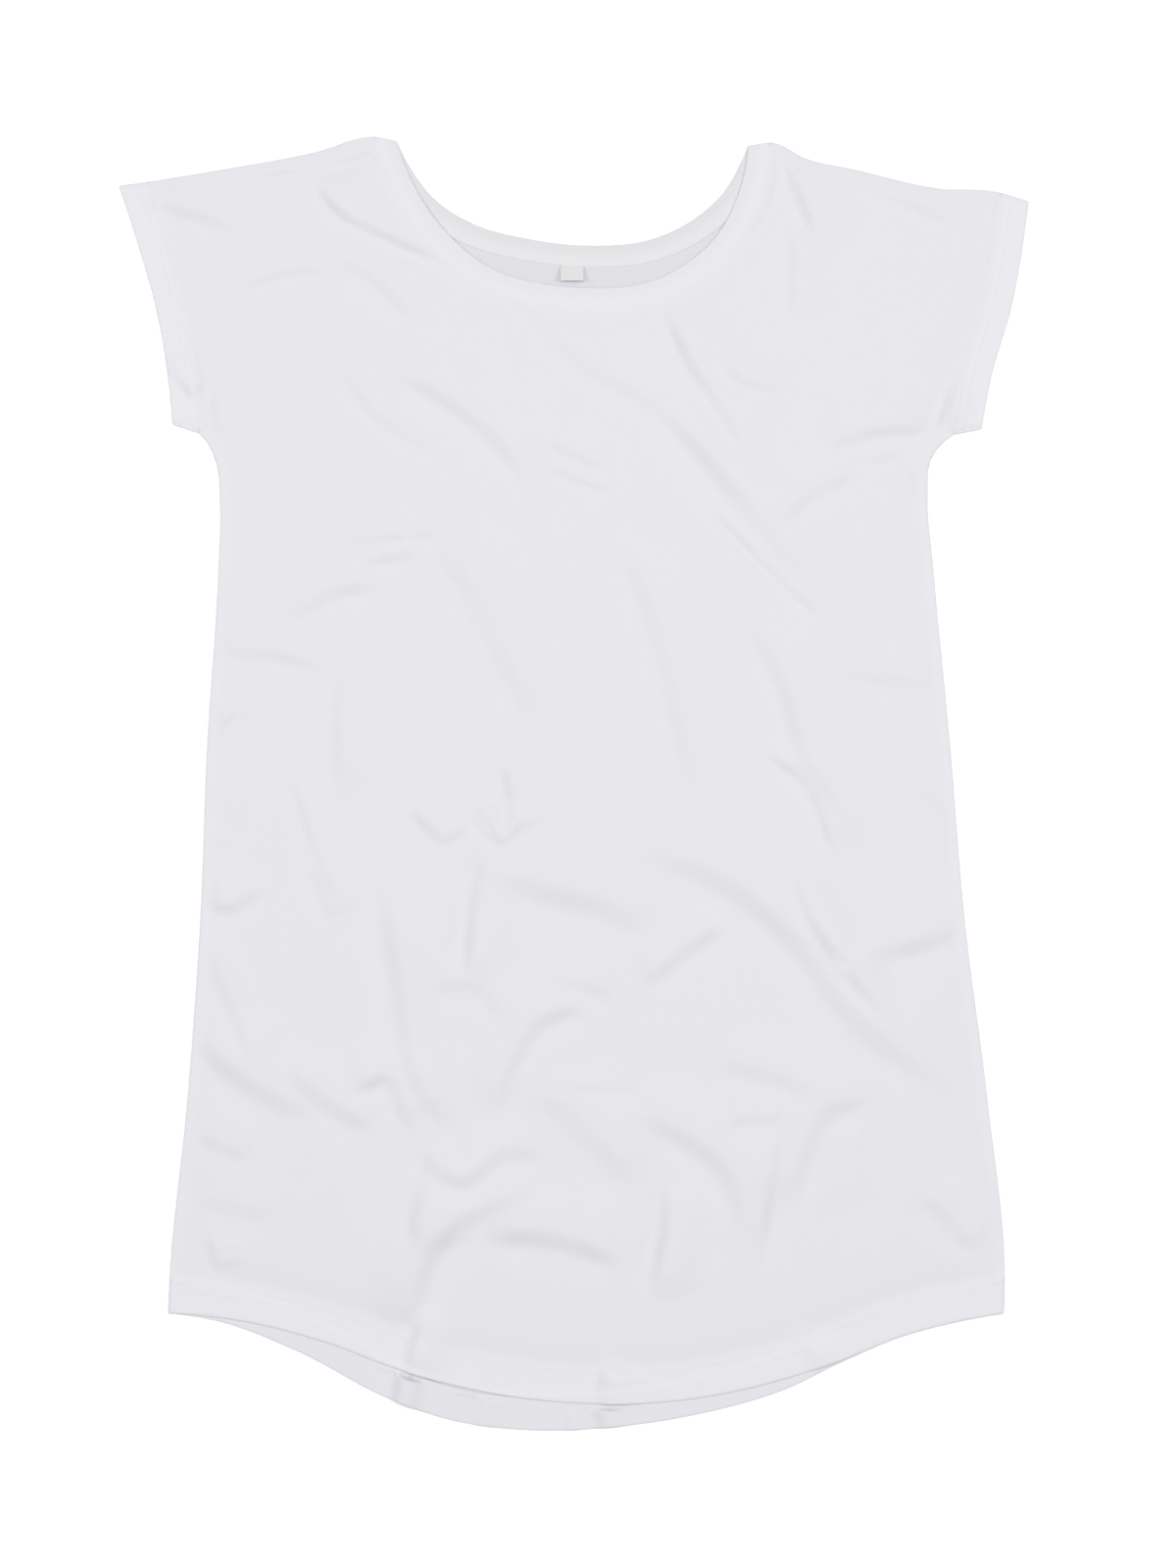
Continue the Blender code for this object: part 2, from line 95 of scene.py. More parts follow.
def smooth_run(points, step=EDGE_STEP):
    """Curve through the points, as a run of points about `step` apart: a Hermite cubic between
    two points, whose tangents are those of the parabola through each and its neighbours."""
    points = np.array(points, dtype=float)
    reach = np.concatenate([[0.0], np.cumsum(np.linalg.norm(np.diff(points, axis=0), axis=1))])
    tangent = np.gradient(points, reach, axis=0, edge_order=2 if len(points) > 2 else 1)
    at = np.linspace(0.0, reach[-1], CURVE_POINTS)
    k = np.clip(np.searchsorted(reach, at, side="right") - 1, 0, len(reach) - 2)
    span = (reach[k + 1] - reach[k])[:, None]
    u = (at - reach[k])[:, None] / span
    fine = ((2 * u**3 - 3 * u**2 + 1) * points[k] + (u**3 - 2 * u**2 + u) * span * tangent[k]
            + (3 * u**2 - 2 * u**3) * points[k + 1] + (u**3 - u**2) * span * tangent[k + 1])
    return evenly(fine, max(2, round(run_length(fine) / step) + 1))


def left_of(run):
    """Unit vectors to the left of a run, at each of its points."""
    ahead = np.gradient(run, axis=0)
    ahead /= np.linalg.norm(ahead, axis=1)[:, None]
    return np.column_stack([-ahead[:, 1], ahead[:, 0]])


def beside(points, run):
    """Each point's distance to a run, + on its left and - on its right, and where along the
    run its foot lies, from 0 to 1."""
    step = np.diff(run, axis=0)
    length = np.linalg.norm(step, axis=1)
    reach = np.concatenate([[0.0], np.cumsum(length)])
    away = points[:, None, :] - run[None, :-1, :]
    share = np.clip((away * step).sum(axis=2) / length**2, 0.0, 1.0)
    gap = np.linalg.norm(away - share[:, :, None] * step, axis=2)
    k = gap.argmin(axis=1)
    i = np.arange(len(points))
    turn = step[k, 0] * away[i, k, 1] - step[k, 1] * away[i, k, 0]
    along = (reach[k] + share[i, k] * length[k]) / reach[-1]
    return np.where(turn >= 0.0, 1.0, -1.0) * gap[i, k], along


def distance(points, run, chunk=4000):
    """Each point's distance to a run, worked out for `chunk` points at a time."""
    return np.concatenate([np.abs(beside(points[k:k + chunk], run)[0])
                           for k in range(0, len(points), chunk)])


def inside(points, outline, chunk=4000):
    """Which points a closed outline holds: a ray to +X crosses it an odd number of times."""
    x1, y1 = outline[:, 0], outline[:, 1]
    x2, y2 = np.roll(x1, -1), np.roll(y1, -1)
    rise = np.where(y2 == y1, 1.0, y2 - y1)
    held = []
    for k in range(0, len(points), chunk):
        x, y = points[k:k + chunk, 0, None], points[k:k + chunk, 1, None]
        crosses = ((y1 > y) != (y2 > y)) & (x < (x2 - x1) * (y - y1) / rise + x1)
        held.append(crosses.sum(axis=1) % 2 == 1)
    return np.concatenate(held)


def smoothstep(value):
    """Three squares less two cubes of a value, which is held between 0 and 1."""
    value = np.clip(value, 0.0, 1.0)
    return value * value * (3.0 - 2.0 * value)


def panel_edges(neck, hem):
    """A panel's eight edges in order, counter-clockwise from the right end of its neck."""
    rows = {"neck_band": neck[::-1], "left_shoulder": SHOULDER_LEFT, "left_cuff": CUFF_LEFT,
            "left_side": SIDE_LEFT, "hem": hem, "right_side": SIDE_RIGHT[::-1],
            "right_cuff": CUFF_RIGHT[::-1], "right_shoulder": SHOULDER_RIGHT[::-1]}
    return {name: smooth_run(row) for name, row in rows.items()}


def whole_outline(edges):
    """A panel's outline with its bands, as a run that ends where it starts. No point of it
    stands twice in a row, because a step of no length has no direction."""
    outline = np.concatenate([run[:-1] for run in edges.values()])
    return np.vstack([outline, outline[:1]])


def walk_in(run, edge, depth):
    """The first stretch of a run that starts on an edge, up to where it is `depth` away."""
    away = distance(run, edge)
    k = int(np.argmax(away >= depth))
    share = (depth - away[k - 1]) / (away[k] - away[k - 1])
    return np.vstack([run[:k], run[k - 1] + share * (run[k] - run[k - 1])])


def inset(edges, name, depth):
    """The line `depth` inside an edge, from the edge before it to the edge after it."""
    order = list(edges)
    place = order.index(name)
    before, after = edges[order[place - 1]][::-1], edges[order[(place + 1) % len(order)]]
    start, end = walk_in(before, edges[name], depth)[-1], walk_in(after, edges[name], depth)[-1]
    line = edges[name] + depth * left_of(edges[name])
    clear = (distance(line, before) > EDGE_STEP) & (distance(line, after) > EDGE_STEP)
    return np.vstack([start, line[clear & inside(line, whole_outline(edges)[:-1])], end])


back_edges = panel_edges(BACK_NECK, BACK_HEM)
seams = [back_edges[name] for name in
         ("left_shoulder", "left_side", "right_side", "right_shoulder")]

# ---- how it lies: flat, and rolled up at the seams, where the front rolls down to meet it
CLOTH = 0.75                        # one layer of jersey, a little thicker than the real one
SEAM_HEIGHT, SEAM_GAP = 1.05, 0.08  # where front and back meet, and what is left between them
SEAM_WALL = 0.5                     # a layer is pulled thin at its seam
ROLL = 3.0                          # how far in from the seam the roll starts
FADE, END_SPREAD = 0.28, 0.6        # a fold's end dies out over that share, to that width
UNEVEN, WANDER = 0.12, 10.0         # how much a fold's height wanders along it, and how fast
TUCK, TUCK_FULL = 1.2, 3.0          # the foot of a fold that high tucks in that deep
BACK_SEAM_DEEP, BACK_SEAM_HALF = 0.05, 0.9      # the sunk line under the neck band
BACK_DENTS = [
    # name         rise  back flank route
    ("waist",      0.30, 40, 16, [(-150, 60), (-60, 20), (40, -10)]),
    ("hip",        0.34, 46, 18, [(60, -40), (120, -120), (200, -190)]),
    ("hip_low",    0.28, 36, 14, [(-200, -180), (-120, -230), (-40, -250)]),
    ("shoulder",   0.26, 34, 14, [(-180, 380), (-120, 310), (-60, 260)]),
    ("blade",      0.30, 40, 16, [(70, 330), (130, 260), (180, 180)]),
    ("middle",     0.24, 40, 16, [(-30, 190), (0, 110), (20, 30)]),
    ("side",       0.26, 32, 14, [(180, 60), (230, 10), (245, -60)]),
    ("left_side",  0.26, 32, 14, [(-230, 60), (-215, -20), (-205, -90)]),
    ("hem_left",   0.28, 34, 14, [(-110, -300), (-95, -350), (-100, -400)]),
    ("hem_right",  0.26, 34, 14, [(120, -270), (110, -330), (130, -390)]),
]


def from_seams(points):
    """Distance to the nearest of the four seams."""
    return np.min([distance(points, run) for run in seams], axis=0)


def quarter(share):
    """Height of a quarter of a circle over a share of its width, from 0 at 0 to 1 at 1."""
    return np.sqrt(1.0 - (1.0 - np.clip(share, 0.0, 1.0))**2)


def roll(points):
    """0 at a seam and 1 past the roll, as a quarter of a circle."""
    return quarter(from_seams(points) / ROLL)


def may_reach(points, run, reach):
    """Which points lie in the box round a run, `reach` wider on every side."""
    return ((points > run.min(axis=0) - reach) & (points < run.max(axis=0) + reach)).all(axis=1)


def fold_height(points, crest, back, flank, route, far=0.0):
    """Height that one fold adds. It is walked along its foot. Its crest is on the left, half a
    flank away, and from there it falls over the flank to the right, where its foot tucks in a
    little, and over its back to the left. A far crest may rise again on the right. Both ends
    die out and draw in."""
    run = smooth_run(route)
    near = may_reach(points, run, 1.5 * flank + back)
    height = np.zeros(len(points))
    if near.any():
        away, along = beside(points[near], run)
        taper = smoothstep(np.minimum(along, 1.0 - along) / FADE)
        away = away / (END_SPREAD + (1.0 - END_SPREAD) * taper)
        at = np.array([-1.5 * flank - back, -1.5 * flank, -flank / 2, flank / 2,
                       flank / 2 + back])
        level = np.array([0.0, far, -TUCK * min(1.0, crest / TUCK_FULL), crest, 0.0])
        k = np.clip(np.searchsorted(at, away, side="right") - 1, 0, len(at) - 2)
        ease = smoothstep((away - at[k]) / (at[k + 1] - at[k]))
        wander = 1.0 + UNEVEN * np.sin(WANDER * along + route[0][0])
        height[near] = wander * taper * (level[k] + (level[k + 1] - level[k]) * ease)
    return height


def folds_height(points, rows):
    """Sum of what all the folds of a table add."""
    return sum(fold_height(points, *row[1:]) for row in rows)


def sunk(points, line, deep, half):
    """How deep a sewn line is sunk: a soft groove, `half` wide to each side."""
    return deep * np.exp(-(distance(points, line) / half)**2)


back_neck_seam = inset(back_edges, "neck_band", BAND_DEPTHS["neck_band"])


def back_faces(points, thickness):
    """Upper and under face of the back."""
    rolled = roll(points)
    dents = folds_height(points, BACK_DENTS).clip(0.0)
    line = sunk(points, back_neck_seam, BACK_SEAM_DEEP, BACK_SEAM_HALF)
    low, high = SEAM_HEIGHT - SEAM_GAP / 2 - SEAM_WALL, SEAM_HEIGHT - SEAM_GAP / 2
    return high + (dents + thickness - line - high) * rolled, low + (dents - low) * rolled


# ---- its mesh: an even net for the face that shows, one twice as wide for the other, a rim
SEAM_BUTT = 0.01                    # between a panel and its band
RIM_ROWS = (0.4, 1.1, 2.2)          # rows of points close inside the edge, which round it
FOLD_ROWS = (-0.9, -0.7, -0.5, -0.33, -0.17, 0.0, 0.17, 0.33, 0.5, 0.75)    # in flanks
SHARP_ANGLE = 62.0                  # degrees past which an edge is shaded sharp
BACK_SPACING = 4.4
ALLOWANCE, ALLOWANCE_SOFT = 6.5, 2.5            # seam allowance pressed flat under a side seam,
ALLOWANCE_SHARE = 0.8                           # and how much it counts of a whole layer
TURNED_ON, TURNED_SOFT = 1.0, 3.0               # turned cloth runs on past its sewing
NECK_ALLOWANCE, NECK_SOFT = (7.0, 17.5), 4.5    # where in its band the neck seam's allowance lies


def eased(past, soft):
    """0 to 1 as a place goes from `soft` short of a line to `soft` past it."""
    return smoothstep(past / soft / 2 + 0.5)


def doubling(points, edges):
    """How much more cloth than usual lies at a point, from 0 to 1: on turned hems it is 1 and
    on seam allowances a little less, and it dies out softly past their edges."""
    from_side = np.minimum(distance(points, edges["left_side"]),
                           distance(points, edges["right_side"]))
    more = ALLOWANCE_SHARE * eased(ALLOWANCE - from_side, ALLOWANCE_SOFT)
    for name, depth in BAND_DEPTHS.items():
        away = distance(points, edges[name])
        start, end, soft = ((*NECK_ALLOWANCE, NECK_SOFT) if name == "neck_band" else
                            (-TURNED_SOFT, depth + TURNED_ON, TURNED_SOFT))
        more = np.maximum(more, eased(away - start, soft) * eased(end - away, soft))
    return more


def add_mesh(name, points, *blocks, doubled=None):
    """Object of that name at the origin, from points in millimetres and blocks of faces, shaded
    smooth. Cloth also keeps how far it is doubled at each point."""
    mesh = bpy.data.meshes.new(name)
    mesh.from_pydata((np.asarray(points) * MM).tolist(), [],
                     [face for block in blocks for face in block.tolist()])
    mesh.shade_smooth()
    mesh.set_sharp_from_angle(angle=np.radians(SHARP_ANGLE))
    if doubled is not None:
        mesh.attributes.new("doubled", "FLOAT", "POINT").data.foreach_set("value", doubled)
    piece = bpy.data.objects.new(name, mesh)
    bpy.context.scene.collection.objects.link(piece)
    return piece


def panel_outline(edges, spacing):
    """The panel inside its bands, as runs of an even number of steps of about `spacing`."""
    names = list(edges)
    runs = []
    for place, name in enumerate(names):
        if name in BAND_DEPTHS:
            run = inset(edges, name, BAND_DEPTHS[name] + SEAM_BUTT)
        else:
            whole = edges[name]
            before, after = names[place - 1], names[(place + 1) % len(names)]
            start = walk_in(whole, edges[before], BAND_DEPTHS[before] + SEAM_BUTT)
            end = walk_in(whole[::-1], edges[after], BAND_DEPTHS[after] + SEAM_BUTT)
            run = np.vstack([start[-1], whole[len(start):len(whole) - len(end)], end[-1]])
        runs.append(evenly(run, 2 * round(run_length(run) / spacing / 2) + 1)[:-1])
    return np.concatenate(runs)


def net(outline, spacing, folds=()):
    """Points in offset rows inside an outline, with its own points first and a few rows close
    inside it, joined to triangles. Closer rows run along each fold, given by its flank and its
    route, in place of the even ones, and where two folds meet, the later one's."""
    ring = np.vstack([outline, outline[:1]])
    ahead = np.roll(outline, -1, axis=0) - np.roll(outline, 1, axis=0)
    ahead /= np.linalg.norm(ahead, axis=1)[:, None]
    inward = np.column_stack([-ahead[:, 1], ahead[:, 0]])
    rim = []
    for depth in RIM_ROWS:
        row = outline + depth * inward
        row = row[inside(row, outline)]
        rim.append(row[distance(row, ring) > 0.95 * depth])
    low, high = outline.min(axis=0), outline.max(axis=0)
    rows = np.arange(low[1], high[1], spacing * np.sqrt(3.0) / 2)
    x, y = np.meshgrid(np.arange(low[0], high[0], spacing), rows)
    x = x + spacing / 2 * (np.arange(len(rows)) % 2)[:, None]
    spots = np.column_stack([x.ravel(), y.ravel()])
    for flank, route in folds:
        run = smooth_run(route, spacing)
        rows = [run + flank * share * left_of(run) for share in FOLD_ROWS]
        reach = flank * FOLD_ROWS[-1] + spacing / 2
        taken = may_reach(spots, run, reach)
        taken[taken] = distance(spots[taken], run) < reach
        spots = np.vstack([spots[~taken], *rows])
    spots = spots[inside(spots, outline)]
    spots = spots[distance(spots, ring) > RIM_ROWS[-1] + spacing / 2]
    flat = np.vstack([outline, *rim, spots])
    k = np.arange(len(outline))
    edges = np.column_stack([k, np.roll(k, -1)]).tolist()
    points, _, faces, _, _, _ = delaunay_2d_cdt(flat.tolist(), edges, [], 1, 1e-5)
    points = np.array(points)
    if not np.allclose(points[:len(outline)], outline, atol=0.01):
        raise RuntimeError("the net doesn't start with its outline")
    return points, np.array(faces)


def panel_shell(name, edges, spacing, faces_of, shown_is_up, folds=()):
    """Closed shell between the two faces that `faces_of` gives the heights of."""
    outline = panel_outline(edges, spacing)
    fine, fine_faces = net(outline, spacing, folds)
    wide, wide_faces = net(outline[::2], 2 * spacing)
    shown, hidden = (0, 1) if shown_is_up else (1, 0)
    points = np.vstack([np.column_stack([fine, faces_of(fine, CLOTH)[shown]]),
                        np.column_stack([wide, faces_of(wide, CLOTH)[hidden]])])
    k = np.arange(len(outline) // 2)
    rim = np.stack([(2 * k + 2) % len(outline), 2 * k + 1, 2 * k, len(fine) + k,
                    len(fine) + (k + 1) % len(k)], axis=-1)
    turn = 1 if shown_is_up else -1
    blocks = fine_faces[:, ::turn], wide_faces[:, ::-turn] + len(fine), rim[:, ::turn]
    return add_mesh(name, points, *blocks, doubled=doubling(points[:, :2], edges))


# ---- bleached combed-cotton single jersey: columns of small V-shaped loops, matt, slightly
# fuzzy, and a little cool from optical whitener. Its inside is duller, and darker still as
# painted shade for the neck opening. Doubled cloth lets less light through and looks brighter.
# The loops are drawn twice as large as real ones, which are too fine to show.
OUTSIDE_COLOUR, INSIDE_SHADED_COLOUR = "DAD9DE", "D3D2D7"
DOUBLED_GAIN = 1.026
WALE, COURSE, V_LEAN = 1.5, 1.2, 1.1
LOOP_RELIEF = 0.04
FAINT_TONE_AND_SHADE = (0.992, 0.992, 0.992, 1.0)        # a little darker: tone where yarn is uneven, painted shade between loops


def linear(hex_colour):
    """sRGB hex to the linear colour that a shader takes."""
    part = np.array([int(hex_colour[k:k + 2], 16) for k in (0, 2, 4)]) / 255.0
    part = np.where(part <= 0.04045, part / 12.92, ((part + 0.055) / 1.055)**2.4)
    return (*part.tolist(), 1.0)


def toned(colour, share):
    """A share of a colour."""
    return (*(share * part for part in colour[:3]), 1.0)


def add_node(tree, kind, settings=None, inputs=None):
    """Node of a kind, with settings by name and inputs by name or number: a socket or a value."""
    node = tree.nodes.new("ShaderNode" + kind)
    for key, value in (settings or {}).items():
        setattr(node, key, value)
    for key, value in (inputs or {}).items():
        if isinstance(value, bpy.types.NodeSocket):
            tree.links.new(value, node.inputs[key])
        else:
            node.inputs[key].default_value = value
    return node


def new_material(name, finish):
    """Material of that name, its node tree and its shader, with the finish set on the sockets."""
    material = bpy.data.materials.new(name)
    material.use_nodes = True
    shader = material.node_tree.nodes["Principled BSDF"]
    for socket, value in {"Metallic": 0.0, **finish}.items():
        shader.inputs[socket].default_value = value
    return material, material.node_tree, shader


def wave_scale(size):
    """Scale at which a wave texture repeats every `size` millimetres."""
    return np.pi / 10 / (size * MM)


def jersey(name, colour, gain=DOUBLED_GAIN):
    """Each wale is rounded across. Its courses lean up to its middle from both sides, which
    makes the V. Fuzz and the yarn's thick and thin places go over both."""
    material, tree, shader = new_material(name, {
        "Roughness": 0.88, "Sheen Weight": 0.10, "Sheen Roughness": 0.5, "IOR": 1.46,
        "Specular IOR Level": 0.25})
    place = add_node(tree, "TexCoord").outputs["Object"]
    axes = add_node(tree, "SeparateXYZ", None, {"Vector": place}).outputs
    off_wale = add_node(tree, "Math", {"operation": "PINGPONG"},
                        {0: axes["X"], 1: WALE / 2 * MM}).outputs[0]
    course = add_node(tree, "Math", {"operation": "MULTIPLY_ADD"},
                      {0: off_wale, 1: V_LEAN, 2: axes["Y"]}).outputs[0]
    leaning = add_node(tree, "CombineXYZ", None, {"Y": course}).outputs[0]
    rounded = add_node(tree, "TexWave", {"bands_direction": "X"},
                       {"Vector": place, "Scale": wave_scale(WALE)}).outputs[1]
    legs = add_node(tree, "TexWave", {"bands_direction": "Y"},
                    {"Vector": leaning, "Scale": wave_scale(COURSE)}).outputs[1]
    sides = add_node(tree, "Math", {"operation": "MULTIPLY_ADD"},
                     {0: legs, 1: 0.5, 2: 0.5}).outputs[0]
    knit = add_node(tree, "Math", {"operation": "MULTIPLY"},
                    {0: rounded, 1: sides}).outputs[0]
    fuzz = add_node(tree, "TexNoise", None,
                    {"Vector": place, "Scale": 900.0, "Detail": 2.0, "Roughness": 0.6}).outputs[0]
    slub = add_node(tree, "TexNoise", None,
                    {"Vector": place, "Scale": 45.0, "Detail": 3.0, "Roughness": 0.55}).outputs[0]
    surface = add_node(tree, "Math", {"operation": "MULTIPLY_ADD"},
                       {0: fuzz, 1: 0.7, 2: knit}).outputs[0]
    relief = add_node(tree, "Bump", None,
                      {"Strength": 0.5, "Distance": LOOP_RELIEF * MM, "Height": surface})
    soft = add_node(tree, "Bump", None,
                    {"Strength": 0.3, "Distance": 0.5 * MM, "Height": slub,
                     "Normal": relief.outputs[0]})
    tree.links.new(soft.outputs[0], shader.inputs["Normal"])
    base = linear(colour)
    doubled = add_node(tree, "Attribute", {"attribute_name": "doubled"}).outputs["Fac"]
    layers = add_node(tree, "Mix", {"data_type": "RGBA"},
                      {0: doubled, 6: base, 7: toned(base, gain)}).outputs[2]
    yarn = add_node(tree, "Mix", {"data_type": "RGBA", "blend_type": "MULTIPLY"},
                    {0: slub, 6: layers, 7: FAINT_TONE_AND_SHADE}).outputs[2]
    # painted shade: darker between the loops, where the knit's relief is low
    gap = add_node(tree, "Math", {"operation": "SUBTRACT"}, {0: 1.0, 1: knit}).outputs[0]
    tone = add_node(tree, "Mix", {"data_type": "RGBA", "blend_type": "MULTIPLY"},
                    {0: gap, 6: yarn, 7: FAINT_TONE_AND_SHADE}).outputs[2]
    tree.links.new(tone, shader.inputs["Base Color"])
    return material


def lay(piece, material, node):
    """Finish a laid piece of cloth: its material, its body and its node."""
    piece.data.materials.append(material)
    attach(piece, "root")
    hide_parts(node)


def lay_panel(piece, material, node, edges):
    """Lay a panel. Its outline inside its bands is worked out, and not used."""
    cut = panel_outline(edges, EDGE_STEP)
    lay(piece, material, node)


outer = jersey("bleached cotton jersey, knit side", OUTSIDE_COLOUR)
# purl side: duller cloth, darkened further by painted shade where it shows in the neck opening
inner = jersey("bleached cotton jersey, purl side, painted shade", INSIDE_SHADED_COLOUR)

back = panel_shell("back_panel_jersey", back_edges, BACK_SPACING, back_faces, False)
lay_panel(back, inner, "back_panel", back_edges)


# ==== Back hem, sleeve hems and neck band ===================================================
# Hem and sleeve hems are the panel's own cloth, turned in once. The neck band is a strip folded
# in two and sewn on. Each is double jersey with a soft folded edge. A few short creases cross
# the back hem where it shows below the front.
# the back's turned hems are darker: painted shade from the front's hems lying over them
# the nape's band is darker than the cloth: painted shade in the neck opening
NAPE_SHADE_COLOUR, BACK_HEM_SHADE_COLOUR = "D5D5D8", "D6D6DB"
NAPE_GAIN = 1.055
HEM_CLOTH = 1.45                    # two layers pressed together
# How far in a folded edge is rounded, and at what share of its thickness it ends. An edge that
# lies free is round, and one that is pressed ends near its foot.
EDGE, PRESSED_EDGE = (1.3, 0.5), (2.2, 0.1)
ROUND_ROWS = (0.0, 0.04, 0.15, 0.35, 0.62, 1.0)     # rows of points over a rounded edge
BAND_STEP, BAND_ACROSS = 3.0, 0.85  # distances between points along a band and across it
NEEDLE_ROWS = (1.6, 7.2)            # twin-needle rows, from where the turned cloth ends
NEEDLE_DEEP, NEEDLE_HALF = 0.03, 0.8
CREASE_START, CREASE_FULL = 2.5, 5.5    # creases rise between these distances past the front
CREASE_DIP = -0.5                   # their feet tuck in no deeper than that
FRONT_NECK = [(-126.5, 459.0), (-117.0, 433.5), (-95.0, 398.5), (-60.0, 369.0), (-2.0, 355.0),
              (60.5, 361.0), (102.0, 391.5), (120.0, 429.0), (124.5, 455.5)]
FRONT_HEM = [(-289.5, -378.0), (-237.0, -383.5), (-178.0, -398.5), (-124.0, -418.5),
             (-56.5, -435.5), (11.5, -442.5), (74.0, -440.5), (137.5, -428.5),
             (191.0, -411.5), (235.5, -394.0), (276.0, -383.5), (307.0, -378.0)]
BACK_HEM_CREASES = [
    # name      crest back flank route
    ("strong",  5.2, 18, 12, [(-124, -415), (-128, -440), (-131, -458)]),
    ("middle",  3.6, 18, 12, [(14, -441), (19, -459), (23, -474)]),
    ("small",   0.8,  8,  5, [(-84, -434), (-74, -437)]),
    ("left",    1.6, 16, 11, [(-66, -432), (-70, -457), (-72, -470)]),
    ("centre",  1.3, 12,  8, [(-4, -441), (-5, -461), (-6, -474)]),
]

front_edges = panel_edges(FRONT_NECK, FRONT_HEM)


def needle_rows(points, edges):
    """How deep the twin-needle rows of hem and sleeve hems are sunk."""
    deep = np.zeros(len(points))
    for name in ("left_cuff", "hem", "right_cuff"):
        away = BAND_DEPTHS[name] - distance(points, edges[name])
        for row in NEEDLE_ROWS:
            deep += NEEDLE_DEEP * np.exp(-((away - row) / NEEDLE_HALF)**2)
    return deep


def run_on(route, share=0.3):
    """A route made longer at both ends by a share of its length, so that a short crease has
    its height where its route is and dies out past it."""
    route = np.array(route, dtype=float)
    ends = route[[0, -1]] - route[[1, -2]]
    ends *= share * run_length(route) / np.linalg.norm(ends, axis=1)[:, None]
    return np.vstack([route[0] + ends[0], route, route[-1] + ends[1]]).tolist()


def creases_height(points, rows):
    """Sum of what all the creases of a table add, made longer."""
    return sum(fold_height(points, *row[1:4], run_on(row[4])) for row in rows)


def back_band_faces(points, thickness):
    """The back's faces, with its creases where the front doesn't lie on it."""
    upper, under = back_faces(points, thickness)
    outside = ~inside(points, whole_outline(front_edges)[:-1])
    away = outside * distance(points, front_edges["hem"])
    shown = smoothstep((away - CREASE_START) / (CREASE_FULL - CREASE_START))
    return upper + shown * creases_height(points, BACK_HEM_CREASES).clip(CREASE_DIP), under


def band_shell(name, edges, edge, faces_of, rounding):
    """A band: across it a closed profile, from its seam over its upper face to the folded edge
    and back underneath, carried along the edge. Both ends are closed."""
    reach, level = rounding
    depth = BAND_DEPTHS[edge]
    outer_run, inner_run = edges[edge], inset(edges, edge, depth)
    ends = np.array([0.0, *RIM_ROWS])
    length = run_length(outer_run)
    count = round((length - 2 * ends[-1]) / BAND_STEP)
    at = np.concatenate([ends[:-1], np.linspace(ends[-1], length - ends[-1], count),
                         length - ends[:-1][::-1]])
    outer = at_lengths(outer_run, at)
    inner = at_lengths(inner_run, at * run_length(inner_run) / length)
    turn = reach * np.array(ROUND_ROWS)
    across = np.concatenate([turn[:-1], np.linspace(
        reach, depth, round((depth - reach) / BAND_ACROSS) + 1)])
    full = quarter(across / reach)
    plan = outer[:, None] + (across / depth)[None, :, None] * (inner - outer)[:, None]
    upper, under = [face.reshape(plan.shape[:2])
                    for face in faces_of(plan.reshape(-1, 2), HEM_CLOTH)]
    end = under + level * (upper - under)
    top, bottom = [np.dstack([plan, end + full * (face - end)]) for face in (upper, under)]
    grid = np.concatenate([bottom[:, ::-1], top[:, 1:]], axis=1)
    return add_mesh(name, grid.reshape(-1, 3), *tube_faces(*grid.shape[:2]),
                    doubled=doubling(grid.reshape(-1, 3)[:, :2], edges))


def tube_faces(rings, sides):
    """Sides and ends of a profile of `sides` points carried through `rings` places."""
    n = np.arange(rings * sides).reshape(rings, sides)
    turned = np.roll(n, -1, axis=1)
    around = np.stack([n[:-1], n[1:], turned[1:], turned[:-1]], axis=-1).reshape(-1, 4)
    return around, np.stack([n[0], n[-1][::-1]])


def lay_bands(side, edges, faces_of, neck_cloth, hem_cloth, hem_edge=EDGE):
    """Make and lay one side's four bands. Each one's mean length is worked out, and not used."""
    for edge, depth in BAND_DEPTHS.items():
        node = f"{side}_{edge}"
        piece = band_shell(node + "_turned", edges, edge, faces_of,
                           hem_edge if edge == "hem" else EDGE)
        length = (run_length(edges[edge]) + run_length(inset(edges, edge, depth))) / 2
        lay(piece, neck_cloth if edge == "neck_band" else hem_cloth, node)


# darker at the nape: painted shade in the neck opening
nape = jersey("bleached cotton jersey, painted shade at the nape", NAPE_SHADE_COLOUR, NAPE_GAIN)
# darker: painted shade, where the front's hems lie over the back's
turned_in_shaded = jersey("bleached cotton jersey, turned in, painted shade", BACK_HEM_SHADE_COLOUR)
lay_bands("back", back_edges, back_band_faces, nape, turned_in_shaded)


# ==== Size label ============================================================================
# A strip of white satin, woven with a low gloss, folded into a small loop and caught in the
# neck seam. It is bare. Its free end stands up a little from the back.
LABEL_X, LABEL_WIDTH, LABEL_LENGTH, LABEL_LIFT = -1.3, 16.5, 11.0, 4.2
LABEL_LAYER, LABEL_GAP = 0.30, 0.22
LABEL_SAG = 0.35                    # its sides lift a little more than its middle
LABEL_CAUGHT, LABEL_CLEAR = 0.4, 0.12           # how far into the seam and off the back it is
LABEL_COLOUR = "D9DAD9"
RIB = 0.6                           # real ribs are 0.15 mm, too fine to show


